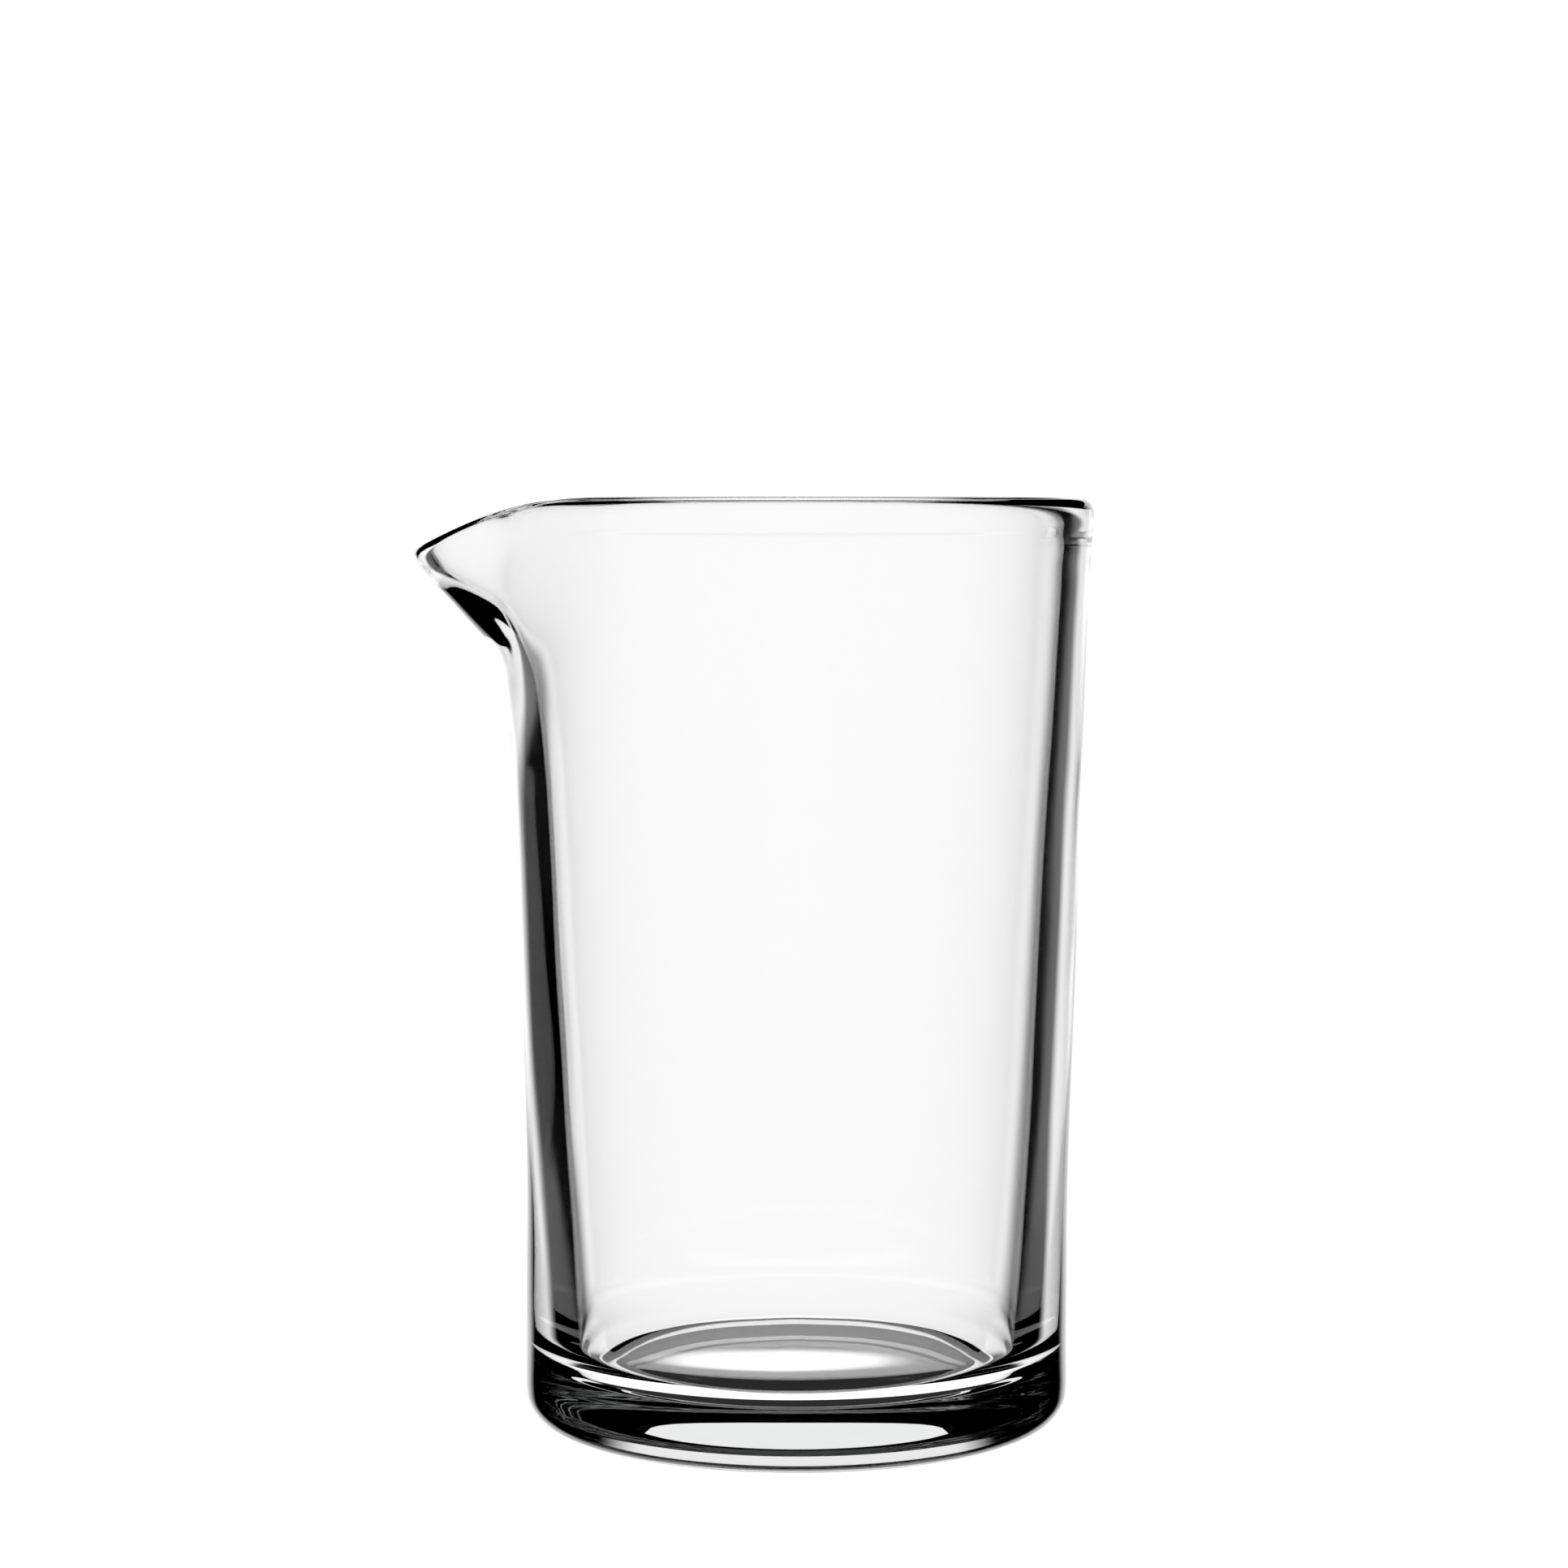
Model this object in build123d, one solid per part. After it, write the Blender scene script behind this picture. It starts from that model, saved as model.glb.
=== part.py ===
from build123d import *
import math
import os

os.makedirs("parts", exist_ok=True)

# A heavy glass mixing beaker: one piece of glass with a thick base, a tapered wall, a
# fire-polished rim and a wide pouring spout. Z is the body's axis, z = 0 is the bench,
# and the spout points along -X. All sizes are in millimetres and degrees.

# Base
REST_RING_OUTER = 37.7
REST_RING_INNER = 31.0
PUNT_DEPTH = 0.3
EDGE_ROUND_WIDTH = 6.3
EDGE_ROUND_HEIGHT = 5.9
FLOOR_HEIGHT = 8.85
FLOOR_RADIUS = 28.5
FLOOR_CORNER = 7.5

# Wall up to the foot of the spout: radius and height. Below the spout the outside is drawn
# in a little, and that side has its own list.
OUTER_WALL = [(44.0, 10), (44.0, 20), (44.0, 36), (44.35, 48), (44.75, 60), (45.2, 72), (45.55, 84), (45.85, 96)]
SPOUT_WALL = [(44.0, 10), (44.0, 20), (43.75, 36), (43.75, 48), (43.95, 60), (44.4, 72), (44.85, 84), (45.3, 96)]
INNER_WALL = [(40.45, 96), (39.8, 84), (39.15, 72), (38.5, 60), (37.85, 48), (37.2, 36), (36.55, 24)]

# Wall and spout above that. Each point of the wall is drawn out to the point in the same
# place in the spout's list.
WALL_OUTSIDE = [
    (46.0, 104), (46.2, 112), (46.4, 119), (46.6, 125),
    (46.8, 129), (47.05, 134), (47.35, 139), (47.6, 144),
]
SPOUT_OUTSIDE = [
    (45.7, 104), (46.35, 112), (47.15, 119), (48.2, 124.8),
    (50.3, 127.6), (53.2, 130.8), (56.0, 133.9), (59.0, 137.2),
]
WALL_INSIDE = [
    (43.0, 144), (42.75, 139), (42.5, 134), (42.2, 129),
    (42.0, 125), (41.7, 119), (41.3, 112), (40.9, 104),
]
SPOUT_INSIDE = [
    (57.5, 139.3), (54.3, 136.3), (50.6, 133.8), (46.6, 131.6),
    (43.9, 128.8), (42.3, 123.0), (41.4, 112), (40.92, 104),
]

# How narrowly the glass is drawn out: at the rim, and the share of that width at the foot
SPOUT_SHARPNESS = 16.0
FOOT_WIDTH = 0.5
SPOUT_FOOT = 100.0
LIP_DIP_SHARPNESS = 1.2

# Rim and the lip of the spout: full rounds, set out from their centres
RIM_RADIUS = 2.3
RIM_CENTRE = (45.5, 147.7)
RIM_LEAN = 87.0
LIP_RADIUS = 1.25
LIP_CENTRE = (60.2, 141.0)
LIP_LEAN = 52.0
RING_STEP = 5


def arc(centre, width, height, start, end, count):
    """Points along an arc as radius and height."""
    points = []
    for i in range(count):
        angle = math.radians(start + (end - start) * i / (count - 1))
        points.append((centre[0] + width * math.cos(angle), centre[1] + height * math.sin(angle)))
    return points


def over_edge(centre, radius, lean):
    """Five points over a rounded edge, from its outside to its inside."""
    return arc(centre, radius, radius, lean - 90, lean + 90, 5)


def half_ring(wall_point, spout_point, side):
    """Half of a level line, from the back of the glass round one side to the spout at -X."""
    rise = max((wall_point[1] - SPOUT_FOOT) / (RIM_CENTRE[1] - SPOUT_FOOT), 0.0)
    sharpness = SPOUT_SHARPNESS / (FOOT_WIDTH + (1 - FOOT_WIDTH) * rise) ** 2
    azimuths = [math.radians(degrees) for degrees in range(0, 180 + RING_STEP, RING_STEP)]
    points = []
    for azimuth in azimuths:
        pull = max(-math.cos(azimuth), 0.0) ** sharpness
        radius = wall_point[0] + pull * (spout_point[0] - wall_point[0])
        height = wall_point[1] + pull**LIP_DIP_SHARPNESS * (spout_point[1] - wall_point[1])
        points.append((radius * math.cos(azimuth), side * radius * math.sin(azimuth), height))
    return Edge.make_spline(points, tangents=[(0, side, 0), (0, -side, 0)], parameters=azimuths)


def ring(wall_point, spout_point):
    """One closed level line of the glass, drawn out from the wall to the spout."""
    return Wire([half_ring(wall_point, spout_point, 1), half_ring(wall_point, spout_point, -1)])


def punt():
    """The shallow hollow under the base, which leaves a flat ring to stand on."""
    with BuildSketch(Plane.XZ) as section:
        with BuildLine():
            SagittaArc((-REST_RING_INNER, 0), (REST_RING_INNER, 0), PUNT_DEPTH)
            Line((REST_RING_INNER, 0), (REST_RING_INNER, -1))
            Line((REST_RING_INNER, -1), (-REST_RING_INNER, -1))
            Line((-REST_RING_INNER, -1), (-REST_RING_INNER, 0))
        make_face()
        split(bisect_by=Plane.YZ)
    return revolve(section.sketch, Axis.Z)


def beaker_glass():
    """One skin from the rest ring, up the outside, over the rim and down to the floor."""
    base_edge = arc((REST_RING_OUTER, EDGE_ROUND_HEIGHT), EDGE_ROUND_WIDTH, EDGE_ROUND_HEIGHT, -90, 0, 7)
    corner = arc((FLOOR_RADIUS, FLOOR_HEIGHT + FLOOR_CORNER), FLOOR_CORNER, FLOOR_CORNER, 0, -90, 7)
    inside = INNER_WALL + corner
    wall_edge = over_edge(RIM_CENTRE, RIM_RADIUS, RIM_LEAN)
    spout_edge = over_edge(LIP_CENTRE, LIP_RADIUS, LIP_LEAN)
    wall = base_edge + OUTER_WALL + WALL_OUTSIDE + wall_edge + WALL_INSIDE + inside
    spout = base_edge + SPOUT_WALL + SPOUT_OUTSIDE + spout_edge + SPOUT_INSIDE + inside
    rings = [ring(wall_point, spout_point) for wall_point, spout_point in zip(wall, spout)]
    skin = Shell.make_loft(rings).faces()
    return Solid(Shell([*skin, Face(rings[0]), Face(rings[-1])])) - punt()


glass = beaker_glass()
glass.label = "beaker_glass"
export_step(glass, "parts/beaker_glass.step")
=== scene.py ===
import math

import bpy
import numpy as np
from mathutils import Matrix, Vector, noise


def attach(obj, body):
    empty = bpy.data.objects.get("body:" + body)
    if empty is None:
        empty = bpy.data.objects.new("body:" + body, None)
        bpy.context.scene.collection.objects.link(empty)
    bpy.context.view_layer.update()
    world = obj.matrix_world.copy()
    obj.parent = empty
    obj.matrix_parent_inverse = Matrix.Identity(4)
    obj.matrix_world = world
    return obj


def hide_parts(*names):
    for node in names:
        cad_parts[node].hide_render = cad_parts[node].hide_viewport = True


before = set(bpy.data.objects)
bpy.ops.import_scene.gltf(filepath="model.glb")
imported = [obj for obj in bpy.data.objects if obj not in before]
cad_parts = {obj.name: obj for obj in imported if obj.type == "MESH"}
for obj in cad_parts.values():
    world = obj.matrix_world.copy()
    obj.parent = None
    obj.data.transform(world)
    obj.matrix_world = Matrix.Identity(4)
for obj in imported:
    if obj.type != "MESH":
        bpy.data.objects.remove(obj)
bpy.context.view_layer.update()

MM = 0.001

# The glass in millimetres: its axis is Z, it stands on z = 0 and its spout points along -X.
REST_RING_OUTER = 37.7
REST_RING_INNER = 31.0
PUNT_DEPTH = 0.3
EDGE_ROUND = (6.3, 5.9)
FLOOR_HEIGHT = 8.85
FLOOR_RADIUS = 28.5
FLOOR_CORNER = 7.5

# Radius and height, up the outside and down the inside. The spout's lists say where the
# points of the wall are drawn to on the spout's side.
OUTER_WALL = [
    (44.0, 10), (44.0, 20), (44.06, 36), (44.33, 48),
    (44.73, 60), (45.15, 72), (45.54, 84), (45.87, 96),
]
SPOUT_WALL = [
    (44.0, 10), (43.98, 20), (43.78, 36), (43.76, 48),
    (43.96, 60), (44.36, 72), (44.85, 84), (45.33, 96),
]
INNER_WALL = [(40.45, 96), (39.8, 84), (39.15, 72), (38.5, 60), (37.85, 48), (37.2, 36), (36.55, 24)]
WALL_OUTSIDE = [
    (46.07, 104), (46.27, 112), (46.46, 119), (46.65, 125),
    (46.8, 129), (47.02, 134), (47.29, 139), (47.62, 144),
]
SPOUT_OUTSIDE = [
    (45.7, 104), (46.35, 112), (47.15, 119), (48.2, 124.8),
    (50.3, 127.6), (53.2, 130.8), (56.0, 133.9), (59.0, 137.2),
]
WALL_INSIDE = [
    (43.05, 144), (42.78, 139), (42.51, 134), (42.24, 129),
    (42.02, 125), (41.7, 119), (41.32, 112), (40.89, 104),
]
SPOUT_INSIDE = [
    (57.5, 139.3), (54.3, 136.3), (50.6, 133.8), (46.6, 131.6),
    (43.9, 128.8), (42.3, 123.0), (41.4, 112), (40.92, 104),
]
SPOUT_SHARPNESS = 16.0
FOOT_WIDTH = 0.5
SPOUT_FOOT = 100.0
LIP_DIP_SHARPNESS = 1.2
RIM_RADIUS = 2.3
RIM_CENTRE = (45.5, 147.7)
RIM_LEAN = 87.0
LIP_RADIUS = 1.25
LIP_CENTRE = (60.2, 141.0)
LIP_LEAN = 52.0

COLUMNS = 288
STEPS = 8
EDGE_POINTS = 5
ROUND_POINTS = 7
POLE_RADIUS = 2.0
DISC_RINGS = 24
FOOT_RINGS = 6

# Faint upright waves left in the inside of the glass by forming it: wavelength and depth
WAVES = ((16.0, 0.06), (6.0, 0.018))
WAVE_STRETCH = 3.0
WAVE_TOP = 118.0
WAVE_FADE = 12.0


def arc(centre, width, height, start, end, count):
    """Points along an arc as radius and height."""
    angles = np.radians(np.linspace(start, end, count))
    return list(zip(centre[0] + width * np.cos(angles), centre[1] + height * np.sin(angles)))


def over_edge(centre, radius, lean):
    """Points over a rounded edge, from its outside to its inside."""
    return arc(centre, radius, radius, lean - 90, lean + 90, EDGE_POINTS)


def smooth_line(knots, sizes):
    """A natural cubic spline through the knots, with the same number of steps in each span."""
    knots = np.array(knots, float)
    span = np.array(sizes)
    count = len(knots)
    system = np.zeros((count, count))
    right = np.zeros((count, knots.shape[1]))
    system[0, 0] = system[-1, -1] = 1
    for i in range(1, count - 1):
        system[i, i - 1] = span[i - 1]
        system[i, i] = 2 * (span[i - 1] + span[i])
        system[i, i + 1] = span[i]
        right[i] = 6 * ((knots[i + 1] - knots[i]) / span[i] - (knots[i] - knots[i - 1]) / span[i - 1])
    bend = np.linalg.solve(system, right)
    line = []
    for i in range(count - 1):
        for t in np.linspace(0, 1, STEPS, endpoint=False):
            a, b, h = 1 - t, t, span[i]
            line.append(a * knots[i] + b * knots[i + 1]
                        + ((a ** 3 - a) * bend[i] + (b ** 3 - b) * bend[i + 1]) * h * h / 6)
    line.append(knots[-1])
    return np.array(line)


def sections():
    """The glass cut through its wall, the same through its spout, and where the inside starts."""
    base_edge = arc((REST_RING_OUTER, EDGE_ROUND[1]), EDGE_ROUND[0], EDGE_ROUND[1], -90, 0, ROUND_POINTS)
    corner_centre = (FLOOR_RADIUS, FLOOR_HEIGHT + FLOOR_CORNER)
    corner = arc(corner_centre, FLOOR_CORNER, FLOOR_CORNER, 0, -90, ROUND_POINTS)
    inside = INNER_WALL + corner
    wall_edge = over_edge(RIM_CENTRE, RIM_RADIUS, RIM_LEAN)
    spout_edge = over_edge(LIP_CENTRE, LIP_RADIUS, LIP_LEAN)
    wall = base_edge + OUTER_WALL + WALL_OUTSIDE + wall_edge + WALL_INSIDE + inside
    spout = base_edge + SPOUT_WALL + SPOUT_OUTSIDE + spout_edge + SPOUT_INSIDE + inside
    sizes = [math.dist(a, b) for a, b in zip(wall, wall[1:])]
    inner_start = STEPS * (len(wall) - len(inside) - len(WALL_INSIDE))
    return smooth_line(wall, sizes), smooth_line(spout, sizes), inner_start


def wave(point):
    """How far the inner surface moves out or in at this point of the wall."""
    fade = min(max((WAVE_TOP - point.z) / WAVE_FADE, 0.0), 1.0)
    place = Vector((point.x, point.y, point.z / WAVE_STRETCH))
    return fade * sum(depth * noise.noise(place / length) for length, depth in WAVES)


def level_line(wall_point, spout_point, wavy):
    """One closed line round the glass, drawn out from the wall to the spout."""
    rise = max((wall_point[1] - SPOUT_FOOT) / (RIM_CENTRE[1] - SPOUT_FOOT), 0.0)
    sharpness = SPOUT_SHARPNESS / (FOOT_WIDTH + (1 - FOOT_WIDTH) * rise) ** 2
    azimuth = np.linspace(0, 2 * math.pi, COLUMNS, endpoint=False)
    pull = np.maximum(-np.cos(azimuth), 0.0) ** sharpness
    radius = wall_point[0] + pull * (spout_point[0] - wall_point[0])
    height = wall_point[1] + pull ** LIP_DIP_SHARPNESS * (spout_point[1] - wall_point[1])
    line = []
    for angle, r, z in zip(azimuth, radius, height):
        direction = Vector((math.cos(angle), math.sin(angle), 0))
        point = direction * r + Vector((0, 0, z))
        if wavy:
            point += direction * wave(point)
        line.append(point * MM)
    return line


def glass_mesh():
    """The whole skin, from the middle of the hollow underneath round to the middle of the floor."""
    wall, spout, inner_start = sections()
    punt = [(r, PUNT_DEPTH * (1 - (r / REST_RING_INNER) ** 2))
            for r in np.linspace(POLE_RADIUS, REST_RING_INNER, DISC_RINGS)]
    foot = [(r, 0.0) for r in np.linspace(REST_RING_INNER, REST_RING_OUTER, FOOT_RINGS)[1:-1]]
    floor = [(r, FLOOR_HEIGHT) for r in np.linspace(FLOOR_RADIUS, POLE_RADIUS, DISC_RINGS)[1:]]
    inner_start += len(punt) + len(foot)
    inner_end = len(punt) + len(foot) + len(wall) - STEPS
    wall = np.vstack([punt, foot, wall, floor])
    spout = np.vstack([punt, foot, spout, floor])
    vertices = [Vector((0, 0, PUNT_DEPTH)) * MM]
    for level, (wall_point, spout_point) in enumerate(zip(wall, spout)):
        vertices += level_line(wall_point, spout_point, inner_start < level < inner_end)
    vertices.append(Vector((0, 0, FLOOR_HEIGHT)) * MM)
    faces = [(0, 1 + (i + 1) % COLUMNS, 1 + i) for i in range(COLUMNS)]
    for level in range(len(wall) - 1):
        low = 1 + level * COLUMNS
        for i in range(COLUMNS):
            j = (i + 1) % COLUMNS
            faces.append((low + i, low + j, low + COLUMNS + j, low + COLUMNS + i))
    last = 1 + (len(wall) - 1) * COLUMNS
    top = len(vertices) - 1
    faces += [(last + i, last + (i + 1) % COLUMNS, top) for i in range(COLUMNS)]
    mesh = bpy.data.meshes.new("beaker")
    mesh.from_pydata(vertices, [], faces)
    mesh.polygons.foreach_set("use_smooth", [True] * len(faces))
    mesh.update()
    return mesh


GLASS_IOR = 1.5
ABSORPTION_COLOUR = (0.0, 0.02, 0.02, 1)
ABSORPTION_DENSITY = 3.0


def glass_material():
    material = bpy.data.materials.new("clear_glass")
    material.use_nodes = True
    tree = material.node_tree
    shader = tree.nodes["Principled BSDF"]
    shader.inputs["Base Color"].default_value = (1, 1, 1, 1)
    shader.inputs["Roughness"].default_value = 0.0
    shader.inputs["IOR"].default_value = GLASS_IOR
    shader.inputs["Transmission Weight"].default_value = 1.0
    absorption = tree.nodes.new("ShaderNodeVolumeAbsorption")
    absorption.inputs["Color"].default_value = ABSORPTION_COLOUR
    absorption.inputs["Density"].default_value = ABSORPTION_DENSITY
    tree.links.new(absorption.outputs["Volume"], tree.nodes["Material Output"].inputs["Volume"])
    return material


beaker = bpy.data.objects.new("beaker", glass_mesh())
bpy.context.collection.objects.link(beaker)
beaker.data.materials.append(glass_material())
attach(beaker, "root")
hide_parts("beaker_glass")

# Camera, in millimetres and degrees
CAMERA_DISTANCE = 680.0
CAMERA_HEIGHT = 153.8
CAMERA_SIDE = -2.03
CAMERA_PITCH = 4.2
LENS = 96.8
SENSOR_WIDTH = 36
camera_data = bpy.data.cameras.new("camera")
camera_data.lens = LENS
camera_data.sensor_width = SENSOR_WIDTH
camera = bpy.data.objects.new("camera", camera_data)
bpy.context.collection.objects.link(camera)
camera.location = (CAMERA_SIDE * MM, -CAMERA_DISTANCE * MM, CAMERA_HEIGHT * MM)
camera.rotation_euler = (math.radians(90 - CAMERA_PITCH), 0, 0)
bpy.context.scene.camera = camera
bpy.context.view_layer.update()

# Stage. The backdrop is a lit panel square to the camera, seen only through the glass. Its
# sides fade, and it ends a little above the glass, which leaves the dark lines in the glass.
WHITE = 1.1
BACKDROP_AHEAD = 2.0
BACKDROP_LEVEL = 1.16
SIDE_ANGLE = 22.0
SIDE_END_ANGLE = 33.0
TOP_ANGLE = 18.0
LOW_ANGLE = 60.0
FLOOR_HALF_WIDTH = 5.0
FLOOR_DROP = 0.2

# Painted light and shade on the table under the glass: painted shadow under its floor with a soft painted
# caustic patch in it, and a painted pool of light in a ring under its edge
UNDER_DROP = 0.1
UNDER_CENTRE = 0.01
UNDER_RADIUS = 32.5
UNDER_OUTER = 41.0
PAINTED_SHADOW_LEVEL = 0.03
PAINTED_RING_LIGHT_LEVEL = 1.3
PAINTED_CAUSTIC_CENTRE = (-3.0, 8.0)
PAINTED_CAUSTIC_SIZE = (25.0, 9.0)
PAINTED_CAUSTIC_LEVEL = 1.6
PAINTED_CAUSTIC_SOFTNESS = 0.45
RING_CORNERS = 96


def glow_material(name, level):
    """A plain lit material. Returns it with its tree and its emission node."""
    material = bpy.data.materials.new(name)
    material.use_nodes = True
    tree = material.node_tree
    tree.nodes.clear()
    glow = tree.nodes.new("ShaderNodeEmission")
    glow.inputs["Strength"].default_value = level
    output = tree.nodes.new("ShaderNodeOutputMaterial")
    tree.links.new(glow.outputs[0], output.inputs["Surface"])
    return material, tree, glow


def soft_step(tree, start, end, low, high):
    """A node that turns smoothly from low to high between start and end."""
    step = tree.nodes.new("ShaderNodeMapRange")
    step.interpolation_type = "SMOOTHSTEP"
    step.inputs["From Min"].default_value = start
    step.inputs["From Max"].default_value = end
    step.inputs["To Min"].default_value = low
    step.inputs["To Max"].default_value = high
    return step


def staged(name, vertices, faces, material):
    """An object of the studio rather than of the part."""
    mesh = bpy.data.meshes.new(name)
    mesh.from_pydata(vertices, [], faces)
    mesh.materials.append(material)
    thing = bpy.data.objects.new(name, mesh)
    bpy.context.collection.objects.link(thing)
    return thing


def behind_glass(degrees):
    """How far from the middle of the backdrop a ray at this angle from the glass lands."""
    return (BACKDROP_AHEAD - CAMERA_DISTANCE * MM) * math.tan(math.radians(degrees))


def backdrop_material():
    material, tree, glow = glow_material("backdrop", BACKDROP_LEVEL)
    coordinates = tree.nodes.new("ShaderNodeTexCoord")
    split = tree.nodes.new("ShaderNodeSeparateXYZ")
    size = tree.nodes.new("ShaderNodeMath")
    size.operation = "ABSOLUTE"
    fade = soft_step(tree, behind_glass(SIDE_ANGLE), behind_glass(SIDE_END_ANGLE), BACKDROP_LEVEL, 0.0)
    tree.links.new(coordinates.outputs["Object"], split.inputs[0])
    tree.links.new(split.outputs["X"], size.inputs[0])
    tree.links.new(size.outputs[0], fade.inputs["Value"])
    tree.links.new(fade.outputs["Result"], glow.inputs["Strength"])
    return material


# Painted shadow under the glass's floor, near black, with a soft bright painted caustic patch in it
def painted_shadow_and_caustic_material():
    material, tree, glow = glow_material("painted_shadow_and_caustic", PAINTED_CAUSTIC_LEVEL)
    coordinates = tree.nodes.new("ShaderNodeTexCoord")
    mapping = tree.nodes.new("ShaderNodeMapping")
    mapping.vector_type = "TEXTURE"
    mapping.inputs["Location"].default_value = (PAINTED_CAUSTIC_CENTRE[0] * MM, PAINTED_CAUSTIC_CENTRE[1] * MM, 0)
    mapping.inputs["Scale"].default_value = (PAINTED_CAUSTIC_SIZE[0] * MM, PAINTED_CAUSTIC_SIZE[1] * MM, 1)
    gradient = tree.nodes.new("ShaderNodeTexGradient")
    gradient.gradient_type = "SPHERICAL"
    step = soft_step(tree, 0.0, PAINTED_CAUSTIC_SOFTNESS, PAINTED_SHADOW_LEVEL, PAINTED_CAUSTIC_LEVEL)
    tree.links.new(coordinates.outputs["Object"], mapping.inputs["Vector"])
    tree.links.new(mapping.outputs["Vector"], gradient.inputs["Vector"])
    tree.links.new(gradient.outputs["Fac"], step.inputs["Value"])
    tree.links.new(step.outputs["Result"], glow.inputs["Strength"])
    return material


def under_ring(name, inner, outer, material):
    vertices = []
    for radius in (inner, outer):
        for i in range(RING_CORNERS):
            angle = 2 * math.pi * i / RING_CORNERS
            vertices.append((radius * MM * math.cos(angle), radius * MM * math.sin(angle), -UNDER_DROP * MM))
    faces = []
    for i in range(RING_CORNERS):
        j = (i + 1) % RING_CORNERS
        faces.append((i, j, RING_CORNERS + j, RING_CORNERS + i))
    ring = staged(name, vertices, faces, material)
    ring.visible_camera = False


side = behind_glass(SIDE_END_ANGLE)
low = -behind_glass(LOW_ANGLE)
high = behind_glass(TOP_ANGLE)
corners = [(-side, low, -BACKDROP_AHEAD), (side, low, -BACKDROP_AHEAD),
           (side, high, -BACKDROP_AHEAD), (-side, high, -BACKDROP_AHEAD)]
backdrop = staged("backdrop", corners, [(0, 1, 2, 3)], backdrop_material())
backdrop.parent = camera
backdrop.visible_camera = False
backdrop.visible_diffuse = False
backdrop.visible_shadow = False

edge = FLOOR_HALF_WIDTH
floor_corners = [(-edge, -edge, 0), (edge, -edge, 0), (edge, edge, 0), (-edge, edge, 0)]
floor = staged("floor", floor_corners, [(0, 1, 2, 3)], glow_material("floor_white", WHITE)[0])
floor.location.z = -FLOOR_DROP * MM
floor.visible_transmission = False
floor.visible_glossy = False

# A disc of painted shadow with a painted caustic patch, seen only through the glass
under_ring("under", UNDER_CENTRE, UNDER_RADIUS, painted_shadow_and_caustic_material())
# A ring of painted light on the table under the glass's edge, seen only through the glass
under_ring("painted_light_ring", UNDER_RADIUS, UNDER_OUTER, glow_material("painted_light_ring", PAINTED_RING_LIGHT_LEVEL)[0])

# The world is white where the camera sees it and dark in the glass.
world = bpy.data.worlds.new("studio")
bpy.context.scene.world = world
world.use_nodes = True
world_tree = world.node_tree
world_tree.nodes.clear()
light_path = world_tree.nodes.new("ShaderNodeLightPath")
sky_level = world_tree.nodes.new("ShaderNodeMapRange")
sky_level.inputs["To Min"].default_value = 0.0
sky_level.inputs["To Max"].default_value = WHITE
background = world_tree.nodes.new("ShaderNodeBackground")
background.inputs["Color"].default_value = (1, 1, 1, 1)
world_output = world_tree.nodes.new("ShaderNodeOutputWorld")
world_tree.links.new(light_path.outputs["Is Camera Ray"], sky_level.inputs["Value"])
world_tree.links.new(sky_level.outputs["Result"], background.inputs["Strength"])
world_tree.links.new(background.outputs[0], world_output.inputs["Surface"])

LIGHT_BOUNCES = 32
GLOSSY_BOUNCES = 16
scene = bpy.context.scene
scene.view_settings.view_transform = "Standard"
scene.cycles.max_bounces = LIGHT_BOUNCES
scene.cycles.transmission_bounces = LIGHT_BOUNCES
scene.cycles.glossy_bounces = GLOSSY_BOUNCES
scene.cycles.transparent_max_bounces = LIGHT_BOUNCES
